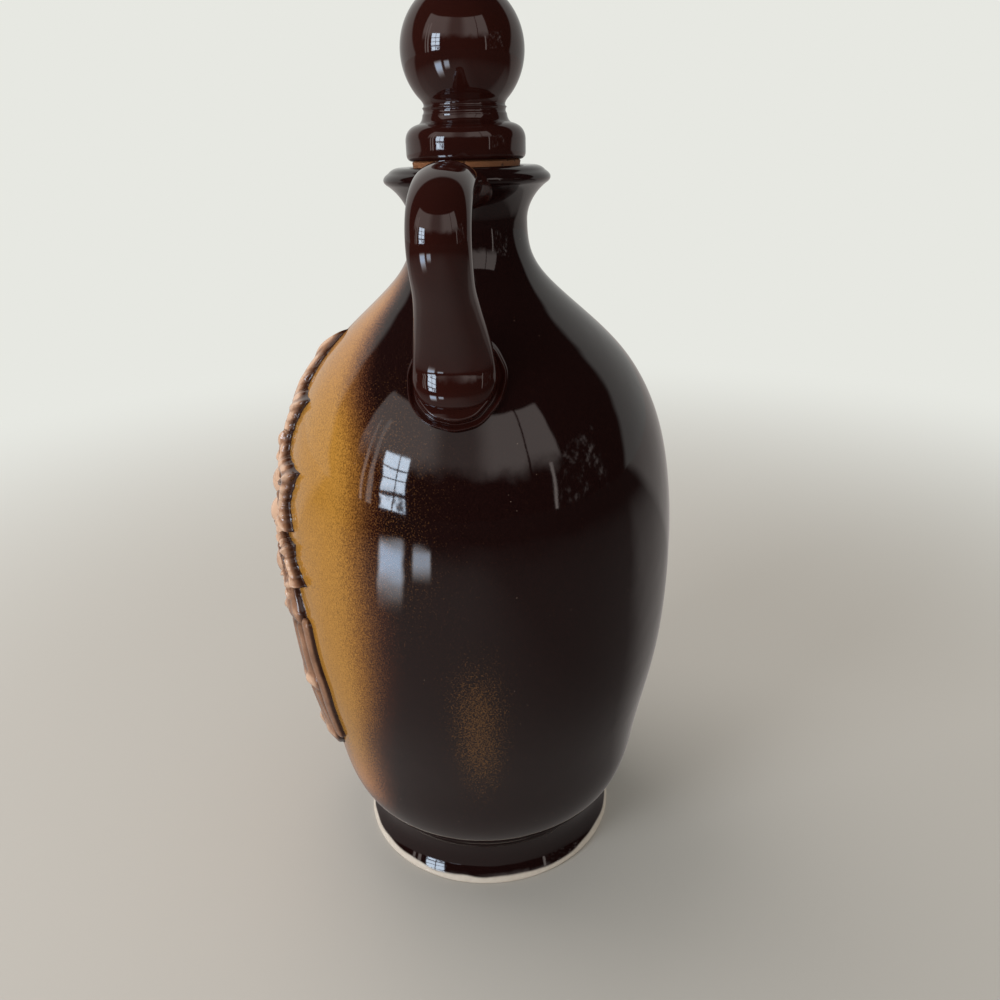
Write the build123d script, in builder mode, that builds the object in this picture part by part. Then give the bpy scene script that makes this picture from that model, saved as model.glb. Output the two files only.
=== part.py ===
from build123d import *

import os
from math import asin, cos, pi, radians, sin, sqrt

# A stoneware liquor decanter: a slip-cast bottle with a strap handle, a fruiting vine in
# relief on its front, and a stopper on a tapered cork.
# Units are millimetres. +Z is up. The origin is the middle of the foot's face.
# The relief looks along -Y, and the handle stands at +X.

# The foot
foot_radius = 38.2
foot_height = 15.8
foot_hollow = 0.5
foot_rim_chamfer = 0.9
foot_crease = 0.7
foot_ring_width = 6.5
foot_ring_draft = 1.2
foot_recess = 3.2

# The body, from the foot's crease over the belly to the narrowest place of the neck
base_step = 0.2
base_lean = 18
belly_radius = 52.9
belly_height = 94.6
neck_radius = 14.35
neck_height = 179.4
neck_wall = 3.65
wall = 4.5
floor_thickness = 5.0
floor_corner = 9.0

# Places on the body's side: the share of the height, and the share of the radius
lower_side_shares = [(0.30, 0.53), (0.62, 0.87)]
upper_side_shares = [(0.23, 0.966), (0.42, 0.873), (0.60, 0.664), (0.80, 0.210), (0.91, 0.026)]

# The lip
lip_width = 5.1
lip_rise = 9.8
lip_round = 0.8
lip_lean = 32
crest_rise = 2.5
crest_fall = 0.5
mouth_land = 2.1
mouth_round = 1.1
mouth_round_share = 0.25

# The stopper's head: a ball, a waist and a collar, on a plug
collar_gap = 1.2
collar_overhang = 1.3
collar_height = 7.9
collar_round = 2.4
collar_foot = 0.6
cove_height = 2.1
waist_radius = 9.9
waist_height = 1.9
waist_groove = 0.3
ball_radius = 14.2
ball_rise = 23.1
ball_lean = 44
round_share = 0.3
cove_rise_share = 0.6
plug_recess = 1.5

# The cork
cork_wall = 3.9
cork_flare = 2.5
cork_length = 20.0
cork_edge = 0.6
cork_clearance = 0.3
glue_gap = 0.1
bore_length = 2.7

# Places along the body's side where the inside keeps its distance from the outside
upper_inside_shares = [0.78, 0.6, 0.4, 0.2, 0.0]
lower_inside_shares = [0.7, 0.4, 0.12]

# The strap handle
strap_width = 12.6
strap_low_width = 18.6
strap_lip_width = 15.5
strap_thickness = 8.5
strap_low_thickness = 10.0
handle_rise = 1.9
handle_reach = 56.0
handle_seat_drop = 37.3
handle_seat_depth = 1.1
skirt_rise = 6.8
skirt_half_width = 11.2
skirt_half_length = 9.4
skirt_thickness = 1.5
# Places of the strap's middle line: the share of the way out to the reach, and the share
# of the way up from the seat to the crown
strap_line_shares = [(0.26, 0.975), (0.58, 1.0), (0.84, 0.96), (0.965, 0.88), (1.0, 0.79), (0.97, 0.692),
                     (0.865, 0.564), (0.735, 0.409), (0.65, 0.281), (0.635, 0.187), (0.675, 0.098)]
# Shares of the way along the strap: its sections, where its flares to the lip and to the
# shoulder begin and end, and where its lower end rounds off
section_shares = [0.0, 0.08, 0.17, 0.28, 0.39, 0.5, 0.6, 0.68, 0.75, 0.81, 0.87, 0.92, 0.955, 0.98, 1.0]
lip_flare_share = 0.17
low_flare_shares = (0.65, 0.90)
thumb_share = 0.90
thumb_tip_share = 0.25

# The vine: sprigs of clay pressed in moulds and luted on. Its stem swells at the knots
leaf_thickness = 1.9
rib_rise = 0.9
lobe_width_share = 0.30
rib_width_share = 0.05
rib_reach_share = 0.86
rib_knot_share = 0.115
# A leaf's lobes: the turn from the middle lobe, and the length as a share of the leaf's
lobe_shares = [(0, 1.0), (52, 0.88), (-52, 0.88), (112, 0.64), (-112, 0.64)]
leaf_top_place = (1.5, 129.5)
leaf_top_length = 25.0
leaf_top_turn = 10
leaf_right_place = (12.0, 114.0)
leaf_right_length = 19.7
leaf_right_turn = 60
leaf_side_place = (21.5, 96.5)
leaf_side_length = 12.5
leaf_side_turn = 96
leaf_left_place = (-17.5, 112.0)
leaf_left_length = 21.5
leaf_left_turn = -52
leaf_low_place = (-14.0, 61.0)
leaf_low_length = 18.5
leaf_low_turn = -150

grape_radius = 5.0
grape_lift = -0.1
grape_pitch = 8.6
grape_row_drop = 7.3
bunch_place = (-3.0, 112.6)
bunch_rows = [3, 4, 3, 4, 3, 2, 1]

stem_half_width = 5.4
stem_height = 2.5
stem_places = [(22.6, 94.0), (24.1, 89.0), (25.1, 84.5), (26.0, 78.5), (26.2, 71.0),
               (25.8, 64.0), (25.1, 57.0), (23.9, 50.5), (22.6, 45.0), (20.6, 38.5)]
stem_width_shares = [0.88, 0.84, 1.02, 0.86, 0.86, 1.05, 0.86, 0.86, 1.02, 0.5]
shoot_radius = 1.7
shoot_gap = 0.4

tendril_radius = 1.0
tendril_turns = 1.5
tendril_reach = 7.8
tendril_steps = 12
tendril_eye_share = 0.2
tendril_places = [(-25.0, 141.0), (-26.5, 81.0)]

sketch_overrun = 8.0
search_steps = 40

# Sizes that follow from these: the cork fits the neck, and the mouth, the lip, the collar
# and the plug go by the cork
base_radius = foot_radius + base_step
lip_height = neck_height + lip_rise
crest_height = lip_height + crest_rise
bore_radius = neck_radius - neck_wall
cork_low_radius = bore_radius - cork_clearance
cork_top_radius = cork_low_radius + cork_flare
crest_radius = cork_top_radius + mouth_land
lip_radius = crest_radius + lip_width
collar_radius = cork_top_radius + collar_overhang
plug_radius = cork_low_radius - cork_wall
plug_length = cork_length - plug_recess
handle_seat_height = neck_height - handle_seat_drop
skirt_height = handle_seat_height + skirt_rise


def between(start, end, share):
    """The value that lies a share of the way from start to end."""
    return start + (end - start) * share


def outside(layer=0):
    """Lines of the bottle's outside from the foot's edge to the lip's crest, under a layer of clay."""
    foot_edge = foot_radius + layer
    base_edge = base_radius + layer
    belly_edge = belly_radius + layer
    neck_edge = neck_radius + layer
    lip_edge = lip_radius + layer
    rim = Line((foot_edge - foot_rim_chamfer, 0), (foot_edge, foot_rim_chamfer))
    band_top = (foot_edge, foot_height - foot_crease)
    band = ThreePointArc(rim @ 1, (foot_edge - foot_hollow, foot_height / 2), band_top)
    crease = Line(band @ 1, (base_edge - foot_crease, foot_height))
    lower_points = [
        (between(base_edge, belly_edge, radius_share), between(foot_height, belly_height, height_share))
        for height_share, radius_share in lower_side_shares
    ]
    lower = Spline(
        [crease @ 1, *lower_points, (belly_edge, belly_height)],
        tangents=[(sin(radians(base_lean)), cos(radians(base_lean))), (0, 1)],
    )
    upper_points = [
        (between(neck_edge, belly_edge, radius_share), between(belly_height, neck_height, height_share))
        for height_share, radius_share in upper_side_shares
    ]
    upper = Spline([lower @ 1, *upper_points, (neck_edge, neck_height)], tangents=[(0, 1), (0, 1)])
    flare_end = (lip_edge - lip_round / 2, lip_height - lip_round)
    flare = Spline(
        [upper @ 1, flare_end],
        tangents=[(0, 1), (cos(radians(lip_lean)), sin(radians(lip_lean)))],
    )
    edge_end = (lip_edge - lip_round, lip_height + lip_round)
    edge = ThreePointArc(flare @ 1, (lip_edge, lip_height), edge_end)
    dome_radius = (crest_radius + layer + edge_end[0]) / 2
    dome_height = (crest_height + edge_end[1] + crest_fall) / 2
    ThreePointArc(edge @ 1, (dome_radius, dome_height), (crest_radius + layer, crest_height))
    return lower, upper


def beside(edge, share, distance):
    """The point at a distance inside an edge of the outline, square to it."""
    along = edge % share
    return edge @ share + Vector(-along.Y, along.X) * distance


def body_form(layer=0):
    """A solid of the bottle's outside under a layer of clay, with no hollow."""
    with BuildPart() as form:
        with BuildSketch(Plane.XZ):
            with BuildLine():
                outside(layer)
                foot_edge = foot_radius + layer - foot_rim_chamfer
                crest_edge = crest_radius + layer
                Polyline((crest_edge, crest_height), (0, crest_height), (0, 0), (foot_edge, 0))
            make_face()
        revolve(axis=Axis.Z)
    return form.part


with BuildLine(mode=Mode.PRIVATE) as side_lines:
    lower_side, upper_side = outside()


def body_radius(height):
    """The radius of the bottle's outside at a height between the foot and the neck."""
    edge = lower_side if height < belly_height else upper_side
    low, high = 0.0, 1.0
    for _ in range(search_steps):
        middle = (low + high) / 2
        if (edge @ middle).Y < height:
            low = middle
        else:
            high = middle
    return (edge @ low).X


def on_front(across, height, lift=0):
    """The point of the bottle's front at a width and a height, lifted off along the radius."""
    radius = body_radius(height)
    grow = (radius + lift) / radius
    return Vector(across * grow, -sqrt(radius**2 - across**2) * grow, height)


def polar(place, length, turn):
    """The point at a length from a place, turned clockwise from straight up."""
    return (place[0] + length * sin(radians(turn)), place[1] + length * cos(radians(turn)))


plain_form = body_form()
leaf_form = body_form(leaf_thickness)
rib_form = body_form(leaf_thickness + rib_rise)
skirt_form = body_form(skirt_thickness)

# The cork's cone, from which the neck's seat is set off by the clearance
collar_base = crest_height + collar_gap
cork_low_height = collar_base - cork_length
cork_taper = (cork_top_radius - cork_low_radius) / cork_length
seat_top_height = crest_height - mouth_round
seat_top_radius = cork_top_radius - cork_taper * (collar_base - seat_top_height) + cork_clearance
bore_low_height = cork_low_height - bore_length
ring_radius = foot_radius - foot_rim_chamfer - foot_ring_width
floor_height = foot_recess + floor_thickness

with BuildPart() as bottle_shell:
    with BuildSketch(Plane.XZ):
        with BuildLine():
            lower_edge, upper_edge = outside()
            mouth_middle = (
                between(seat_top_radius, crest_radius, mouth_round_share),
                crest_height - mouth_round * mouth_round_share,
            )
            seat_top = (seat_top_radius, seat_top_height)
            mouth = ThreePointArc((crest_radius, crest_height), mouth_middle, seat_top)
            seat = Line(mouth @ 1, (bore_radius, cork_low_height))
            bore = Line(seat @ 1, (bore_radius, bore_low_height))
            shoulder_inside = [beside(upper_edge, share, wall) for share in upper_inside_shares]
            belly_inside = [beside(lower_edge, share, wall) for share in lower_inside_shares]
            floor_edge = (base_radius - wall - floor_corner, floor_height)
            cavity = Spline(
                [bore @ 1, *shoulder_inside, *belly_inside, floor_edge],
                tangents=[(0, -1), (-1, 0)],
            )
            Polyline(
                cavity @ 1,
                (0, floor_height),
                (0, foot_recess),
                (ring_radius - foot_ring_draft, foot_recess),
                (ring_radius, 0),
                (foot_radius - foot_rim_chamfer, 0),
            )
        make_face()
    revolve(axis=Axis.Z)

# The strap's middle line lies in the plane of the handle
strap_crown = crest_height + handle_rise - strap_thickness / 2
strap_out = handle_reach - strap_thickness / 2
with BuildLine(Plane.XZ, mode=Mode.PRIVATE) as strap_line:
    strap_start = (neck_radius, strap_crown - handle_rise - lip_round)
    strap_end = (body_radius(handle_seat_height) - handle_seat_depth, handle_seat_height)
    strap_points = [
        (between(neck_radius, strap_out, out_share), between(handle_seat_height, strap_crown, up_share))
        for out_share, up_share in strap_line_shares
    ]
    Spline([strap_start, *strap_points, strap_end])


def strap_section(share):
    """Half the strap's width and thickness at a share of the way: it flares, and its end rounds off."""
    lip_flare = (strap_lip_width - strap_width) * max(0, 1 - share / lip_flare_share)
    flare_start, flare_end = low_flare_shares
    flared = min(1, max(0, (share - flare_start) / (flare_end - flare_start)))
    flared = flared**2 * (3 - 2 * flared)
    width = strap_width + lip_flare + (strap_low_width - strap_width) * flared
    thickness = strap_thickness + (strap_low_thickness - strap_thickness) * flared
    rounded = max(0, (share - thumb_share) / (1 - thumb_share))
    roundness = max(thumb_tip_share, sqrt(1 - rounded**2))
    return width / 2 * roundness, thickness / 2 * roundness


with BuildPart() as handle:
    with BuildSketch(Plane.YZ):
        with Locations((0, skirt_height)):
            Ellipse(skirt_half_width, skirt_half_length)
    extrude(amount=belly_radius + sketch_overrun)
    add(skirt_form, mode=Mode.INTERSECT)
    strap_edge = strap_line.edges()[0]
    for share in section_shares:
        section_plane = Plane(origin=strap_edge @ share, x_dir=(0, 1, 0), z_dir=strap_edge % share)
        with BuildSketch(section_plane):
            Ellipse(*strap_section(share))
    loft()
    add(plain_form, mode=Mode.SUBTRACT)

grape_centres = []
for row, count in enumerate(bunch_rows):
    for number in range(count):
        across = bunch_place[0] + (number - (count - 1) / 2) * grape_pitch
        grape_centres.append(on_front(across, bunch_place[1] - row * grape_row_drop, grape_lift))
with BuildPart() as grape_bunch:
    with Locations(*grape_centres):
        Sphere(grape_radius)
    add(plain_form, mode=Mode.SUBTRACT)


def leaf_outline(place, length, turn, width_share):
    """Pointed lobes of a vine leaf round its stalk's end, each between two arcs."""
    for lobe_turn, length_share in lobe_shares:
        direction = turn + lobe_turn
        lobe_length = length * length_share
        tip = polar(place, lobe_length, direction)
        middle = polar(place, lobe_length / 2, direction)
        flank = lobe_length * width_share
        with BuildLine(mode=Mode.PRIVATE) as lobe:
            ThreePointArc(place, polar(middle, flank, direction + 90), tip)
            ThreePointArc(tip, polar(middle, flank, direction - 90), place)
        make_face(lobe.edges())


leaf_plan = {
    "leaf_right": (leaf_right_place, leaf_right_length, leaf_right_turn),
    "leaf_side": (leaf_side_place, leaf_side_length, leaf_side_turn),
    "leaf_left": (leaf_left_place, leaf_left_length, leaf_left_turn),
    "leaf_top": (leaf_top_place, leaf_top_length, leaf_top_turn),
    "leaf_low": (leaf_low_place, leaf_low_length, leaf_low_turn),
}
leaves = {}
with BuildSketch(Plane.XZ) as covered:
    with Locations(*[(centre.X, centre.Z) for centre in grape_centres]):
        Circle(grape_radius)
for name, (place, length, turn) in leaf_plan.items():
    with BuildSketch(Plane.XZ) as blade:
        leaf_outline(place, length, turn, lobe_width_share)
        add(covered.sketch_local, mode=Mode.SUBTRACT)
    with BuildSketch(Plane.XZ) as veins:
        leaf_outline(place, length * rib_reach_share, turn, rib_width_share)
        with Locations(place):
            Circle(length * rib_knot_share)
        add(covered.sketch_local, mode=Mode.SUBTRACT)
    with BuildPart() as ribs:
        extrude(veins.sketch, amount=belly_radius + sketch_overrun)
        add(rib_form, mode=Mode.INTERSECT)
    with BuildPart() as leaf:
        extrude(blade.sketch, amount=belly_radius + sketch_overrun)
        add(leaf_form, mode=Mode.INTERSECT)
        add(ribs.part)
        add(plain_form, mode=Mode.SUBTRACT)
    leaves[name] = leaf
    with covered:
        add(blade.sketch_local)


def rod_sections(places, half_widths, height):
    """Planes and sizes of the sections of a half-round rod that lies on the bottle's front."""
    route = [on_front(across, up) for across, up in places]
    for number, ((across, up), half_width) in enumerate(zip(places, half_widths)):
        along = route[min(number + 1, len(route) - 1)] - route[max(number - 1, 0)]
        level = along.cross(Vector(route[number].X, route[number].Y, 0))
        sink = half_width**2 / (2 * body_radius(up))
        plane = Plane(origin=on_front(across, up, -sink), x_dir=level, z_dir=along)
        yield plane, half_width, height + sink


def beside_on_front(place, distance):
    """The place at a distance round the body's side from a place on its front."""
    radius = body_radius(place[1])
    return (radius * sin(asin(place[0] / radius) + distance / radius), place[1])


stem_half_widths = [stem_half_width * share for share in stem_width_shares]
with BuildPart() as vine_stem:
    for plane, half_width, height in rod_sections(stem_places, stem_half_widths, stem_height):
        with BuildSketch(plane):
            Ellipse(half_width, height)
    loft()
    add(plain_form, mode=Mode.SUBTRACT)
    with BuildSketch(Plane.XZ):
        leaf_outline(leaf_side_place, leaf_side_length, leaf_side_turn, lobe_width_share)
    extrude(amount=belly_radius + sketch_overrun, mode=Mode.SUBTRACT)

shoot_places = [
    beside_on_front(place, half_width + shoot_gap + shoot_radius)
    for place, half_width in zip(stem_places[2:-1], stem_half_widths[2:-1])
]
with BuildPart() as side_shoot:
    for plane, half_width, height in rod_sections(
        shoot_places, [shoot_radius] * len(shoot_places), shoot_radius
    ):
        with BuildSketch(plane):
            Ellipse(half_width, height)
    loft()
    add(plain_form, mode=Mode.SUBTRACT)

with BuildPart() as tendrils:
    for across, up in tendril_places:
        curl_points = []
        for step in range(tendril_steps + 1):
            share = step / tendril_steps
            angle = 2 * pi * tendril_turns * share
            reach = between(tendril_reach, tendril_reach * tendril_eye_share, share)
            curl_points.append(on_front(across + reach * sin(angle), up - reach * cos(angle)))
        with BuildLine() as curl:
            Spline(curl_points)
        curl_edge = curl.edges()[0]
        with BuildSketch(Plane(origin=curl_edge @ 0, z_dir=curl_edge % 0)):
            Circle(tendril_radius)
        sweep(path=curl_edge)
    add(plain_form, mode=Mode.SUBTRACT)

with BuildPart() as cork_sleeve:
    with BuildSketch(Plane.XZ):
        with BuildLine():
            Polyline(
                (plug_radius + glue_gap, collar_base),
                (cork_top_radius, collar_base),
                (cork_low_radius, cork_low_height + cork_edge),
                (cork_low_radius - cork_edge, cork_low_height),
                (plug_radius + glue_gap, cork_low_height),
                close=True,
            )
        make_face()
    revolve(axis=Axis.Z)

collar_top = collar_base + collar_height
waist_base = collar_top + cove_height
waist_top = waist_base + waist_height
ball_height = collar_base + ball_rise
with BuildPart() as stopper_head:
    with BuildSketch(Plane.XZ):
        with BuildLine():
            plug_base = collar_base - plug_length
            plug = Polyline((0, plug_base), (plug_radius, plug_base), (plug_radius, collar_base))
            foot_line = Line(plug @ 1, (collar_radius - collar_foot, collar_base))
            low_round = Line(foot_line @ 1, (collar_radius, collar_base + collar_foot))
            collar_side = Line(low_round @ 1, (collar_radius, collar_top - collar_round))
            collar_shoulder = ThreePointArc(
                collar_side @ 1,
                (collar_radius - collar_round * round_share, collar_top - collar_round * round_share),
                (collar_radius - collar_round, collar_top),
            )
            cove = Spline(
                [collar_shoulder @ 1, (waist_radius, waist_base)],
                tangents=[(-1, cove_rise_share), (0, 1)],
            )
            groove = ThreePointArc(
                cove @ 1,
                (waist_radius - waist_groove, (waist_base + waist_top) / 2),
                (waist_radius, waist_top),
            )
            ball_start = (
                ball_radius * cos(radians(ball_lean)),
                ball_height - ball_radius * sin(radians(ball_lean)),
            )
            neck_line = Line(groove @ 1, ball_start)
            ball = ThreePointArc(neck_line @ 1, (ball_radius, ball_height), (0, ball_height + ball_radius))
            Line(ball @ 1, plug @ 0)
        make_face()
    revolve(axis=Axis.Z)

pieces = {
    "bottle_shell": bottle_shell,
    "handle": handle,
    "vine_stem": vine_stem,
    "side_shoot": side_shoot,
    "grape_bunch": grape_bunch,
    **leaves,
    "tendrils": tendrils,
    "cork_sleeve": cork_sleeve,
    "stopper_head": stopper_head,
}
os.makedirs("parts", exist_ok=True)
for name, piece in pieces.items():
    piece.part.label = name
    export_step(piece.part, f"parts/{name}.step")
    print(name, round(piece.part.volume, 1))
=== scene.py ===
# %% [markdown]
# # A stoneware liquor decanter
# This lesson finishes a decanter that was cast in clay, dressed with a vine in relief and
# glazed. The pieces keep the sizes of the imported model: it is loaded first, and each piece
# made here stands where its clay body stands. Lengths are worked out in millimetres, as a
# potter would measure them, and turned into metres when a mesh is laid down.

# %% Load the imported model
from math import cos, pi, radians, sin

import bpy
import numpy as np
from mathutils import Matrix, Vector


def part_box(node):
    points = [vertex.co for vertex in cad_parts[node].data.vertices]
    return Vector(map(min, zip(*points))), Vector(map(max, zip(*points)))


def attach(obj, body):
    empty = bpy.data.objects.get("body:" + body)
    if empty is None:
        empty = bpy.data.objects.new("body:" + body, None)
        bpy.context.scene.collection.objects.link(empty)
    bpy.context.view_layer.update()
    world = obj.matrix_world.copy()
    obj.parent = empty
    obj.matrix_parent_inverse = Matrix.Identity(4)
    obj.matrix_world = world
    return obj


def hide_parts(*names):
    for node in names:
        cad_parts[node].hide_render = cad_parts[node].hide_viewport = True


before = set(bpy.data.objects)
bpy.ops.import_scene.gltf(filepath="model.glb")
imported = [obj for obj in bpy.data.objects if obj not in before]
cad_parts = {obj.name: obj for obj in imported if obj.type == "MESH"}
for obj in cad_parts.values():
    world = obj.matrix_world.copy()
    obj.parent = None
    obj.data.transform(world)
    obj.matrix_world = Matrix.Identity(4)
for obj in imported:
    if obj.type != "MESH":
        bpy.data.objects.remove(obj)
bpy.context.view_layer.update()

# %% [markdown]
# ## The sizes
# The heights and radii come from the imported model's own boxes wherever a box tells them.
# The rest are the potter's measures: how far the foot stands, how thick the wall is, where
# the lip turns over.

# %% Sizes of the bottle
MM = 0.001


def millimetres(node):
    """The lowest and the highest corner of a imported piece, in millimetres."""
    low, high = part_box(node)
    return low / MM, high / MM


shell_high = millimetres("bottle_shell")[1]
cork_low, cork_high = millimetres("cork_sleeve")
stopper_low, stopper_high = millimetres("stopper_head")
handle_high = millimetres("handle")[1]

foot_radius = 38.2
foot_height = 12.9
foot_flare = 2.9
foot_crease = 3.1
foot_ring_width = 6.5
foot_recess = 3.2
rim_round = 0.9
base_lean = 50
belly_radius = shell_high.x
belly_height = 94.6
neck_radius = 14.35
neck_height = 179.4
lip_radius = 20.1
lip_height = 189.2
lip_round = 1.3
lip_lean = 32
crest_radius = 15.0
crest_height = 191.7
crest_fall = 0.5
wall = 4.5
floor_height = 8.2
floor_corner = 9.0
bore_radius = 10.7
seat_top_radius = 12.9
mouth_round = 1.1
bore_drop = 2.7
inside_top = 162
inside_low = 24
lower_side_shares = [(0.065, 0.138), (0.30, 0.53), (0.62, 0.87)]
upper_side_shares = [(0.23, 0.966), (0.42, 0.873), (0.60, 0.664), (0.80, 0.210), (0.91, 0.026)]
print("belly across:", round(2 * belly_radius, 1), "mm")

# %% [markdown]
# ## Smooth lines
# A thrown or cast pot has no corners along its side. A line that passes through a few
# chosen points, with one smooth bend after another, gives the same reflections as the real
# clay does. Blender has no tool that draws such a line to exact places, so a small helper
# works it out.


# %% Helpers for lines
def smooth_line(points, leave, arrive, steps):
    """Points of a smooth line through the given ones, with its directions at both ends."""
    points = np.array(points, float)
    spans = np.linalg.norm(np.diff(points, axis=0), axis=1)
    count = len(points)
    matrix = np.eye(count)
    known = np.zeros_like(points)
    known[0] = np.array(leave) / np.linalg.norm(leave)
    known[-1] = np.array(arrive) / np.linalg.norm(arrive)
    for row in range(1, count - 1):
        before, after = spans[row - 1], spans[row]
        matrix[row, row - 1 : row + 2] = after, 2 * (before + after), before
        rise_before = (points[row] - points[row - 1]) / before
        rise_after = (points[row + 1] - points[row]) / after
        known[row] = 3 * (after * rise_before + before * rise_after)
    slopes = np.linalg.solve(matrix, known)
    line = []
    for share in np.linspace(0, spans.sum(), steps + 1):
        span = min(np.searchsorted(np.cumsum(spans), share - 1e-9), count - 2)
        length = spans[span]
        t = (share - spans[:span].sum()) / length
        line.append(
            points[span] * (1 + 2 * t) * (1 - t) ** 2
            + slopes[span] * length * t * (1 - t) ** 2
            + points[span + 1] * t**2 * (3 - 2 * t)
            + slopes[span + 1] * length * t**2 * (t - 1)
        )
    return np.array(line)


def bend(start, middle, end, steps):
    """Points of a quarter-like bend from start to end that leans towards the middle point."""
    start, middle, end = np.array(start), np.array(middle), np.array(end)
    t = np.linspace(0, 1, steps + 1)[:, None]
    return (1 - t) ** 2 * start + 2 * t * (1 - t) * middle + t**2 * end


def between(start, end, share):
    """The value that lies a share of the way from start to end."""
    return start + (end - start) * share


# %% The outline of the bottle's side
lower_points = [
    (between(foot_radius, belly_radius, radius_share), between(foot_height, belly_height, height_share))
    for height_share, radius_share in lower_side_shares
]
upper_points = [
    (between(neck_radius, belly_radius, radius_share), between(belly_height, neck_height, height_share))
    for height_share, radius_share in upper_side_shares
]
crease_point = (foot_radius - foot_crease, foot_height)
lower_side = smooth_line(
    [crease_point, *lower_points, (belly_radius, belly_height)],
    (sin(radians(base_lean)), cos(radians(base_lean))), (0, 1), 60,
)
upper_side = smooth_line(
    [(belly_radius, belly_height), *upper_points, (neck_radius, neck_height)], (0, 1), (0, 1), 84
)
side = np.concatenate([lower_side, upper_side[1:]])
print("points along the side:", len(side))


def body_radius(height):
    """The radius of the bottle's side at a height."""
    return np.interp(height, side[:, 1], side[:, 0])


# %% [markdown]
# ## Spinning clay
# The bottle, the stopper and the cork are round, so each is one outline turned about the
# axis. By hand one adds a plane, merges it to a single point, extrudes that point along the
# outline and spins it. The helper does just that, then merges the doubles on the axis and
# turns all faces outwards.


# %% Helper that spins an outline
def spin_clay(name, outline, steps):
    """Spins an outline of (radius, height) points, in millimetres, that starts and ends on the axis."""
    bpy.ops.object.select_all(action="DESELECT")
    bpy.ops.mesh.primitive_plane_add(size=MM, enter_editmode=True)
    piece = bpy.context.object
    piece.name = piece.data.name = name
    bpy.ops.mesh.select_all(action="SELECT")
    bpy.ops.mesh.merge(type="CENTER")
    here = Vector((0, 0, 0))
    for number, (radius, height) in enumerate(outline):
        place = Vector((radius, 0, height)) * MM
        if number == 0:
            bpy.ops.transform.translate(value=place - here)
        else:
            bpy.ops.mesh.extrude_region_move(TRANSFORM_OT_translate={"value": place - here})
        here = place
    bpy.ops.mesh.select_all(action="SELECT")
    bpy.ops.mesh.spin(steps=steps, angle=2 * pi, center=(0, 0, 0), axis=(0, 0, 1))
    bpy.ops.mesh.select_all(action="SELECT")
    bpy.ops.mesh.remove_doubles(threshold=MM / 1000)
    bpy.ops.mesh.normals_make_consistent(inside=False)
    bpy.ops.object.mode_set(mode="OBJECT")
    bpy.ops.object.shade_smooth()
    print(name, "faces:", len(piece.data.polygons))
    return piece


# %% [markdown]
# ## The bottle
# The bottle is cast in one: a foot with a hollow underside, an egg-shaped body, a short
# neck and a lip that turns over. Its wall is modelled too, because the stopper lifts out
# and shows the mouth. Each edge is rounded as glaze rounds it. The foot flares towards the
# floor, and the body bulges over the crease between them.

# %% The bottle
hollow_lean = 2.4
edge_round = 0.6
ledge_round = 0.2
ring_radius = foot_radius - rim_round - foot_ring_width
underside = [
    (0, foot_recess),
    (ring_radius / 2, foot_recess),
    *bend(
        (ring_radius - hollow_lean, foot_recess),
        (ring_radius - edge_round, foot_recess),
        (ring_radius, edge_round / 2),
        8,
    ),
    (ring_radius + 0.5, 0),
    (foot_radius - rim_round - 0.4, 0),
]
foot_edge = bend((foot_radius - rim_round, 0), (foot_radius - 0.1, 0), (foot_radius, rim_round), 6)
ledge_radius = foot_radius - foot_flare - ledge_round
ledge_height = foot_height - ledge_round
band_top = (ledge_radius, foot_height - rim_round)
foot_band = smooth_line(
    [(foot_radius, rim_round), (foot_radius - foot_flare, foot_height / 2), band_top],
    (-0.6, 0.8), (0.05, 1), 18,
)
ledge_end = (foot_radius - foot_crease - ledge_round, ledge_height)
foot_shoulder = bend(band_top, (ledge_radius, ledge_height), ledge_end, 6)
flare_end = (lip_radius - lip_round / 2, lip_height - lip_round)
flare_way = (cos(radians(lip_lean)), sin(radians(lip_lean)))
flare = smooth_line([(neck_radius, neck_height), flare_end], (0, 1), flare_way, 24)
lip_corner = (lip_radius + lip_round * 0.65, lip_height)
lip_edge = bend(flare_end, lip_corner, (lip_radius - lip_round, lip_height + lip_round), 10)
crest = (crest_radius, crest_height)
dome_middle = ((crest_radius + lip_radius) / 2, crest_height + crest_fall / 2)
dome = bend(lip_edge[-1], dome_middle, crest, 10)
mouth_corner = (seat_top_radius + 0.1, crest_height)
mouth = bend(crest, mouth_corner, (seat_top_radius, crest_height - mouth_round), 6)
seat_low = (bore_radius, cork_low.z)
bore_low = (bore_radius, cork_low.z - bore_drop)
inside_heights = np.linspace(inside_top, inside_low, 40)
slope = np.gradient(body_radius(inside_heights), inside_heights)
inside_radii = body_radius(inside_heights) - wall * np.sqrt(1 + slope**2)
narrowest, widest = bore_radius + edge_round, belly_radius - wall
inside = [place for place in zip(inside_radii, inside_heights) if narrowest < place[0] < widest]
low_radius = inside[-1][0]
floor_bend = bend(
    inside[-1], (low_radius - edge_round, floor_height), (low_radius - floor_corner, floor_height), 8
)
outline = [
    *underside, *foot_edge, *foot_band[1:], *foot_shoulder[1:], *lower_side, *upper_side[1:], *flare[1:],
    *lip_edge[1:], *dome[1:], *mouth[1:], seat_low, bore_low, *inside, *floor_bend[1:], (0, floor_height),
]
bottle = spin_clay("bottle", outline, 192)
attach(bottle, "bottle")
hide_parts("bottle_shell")

# %% [markdown]
# ## The stopper
# The stopper is one cast piece, a ball on a waist and a collar, with a plug below that the
# cork is glued to. The cork is a tapered ring, and only its top edge shows while the
# decanter is shut.

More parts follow.
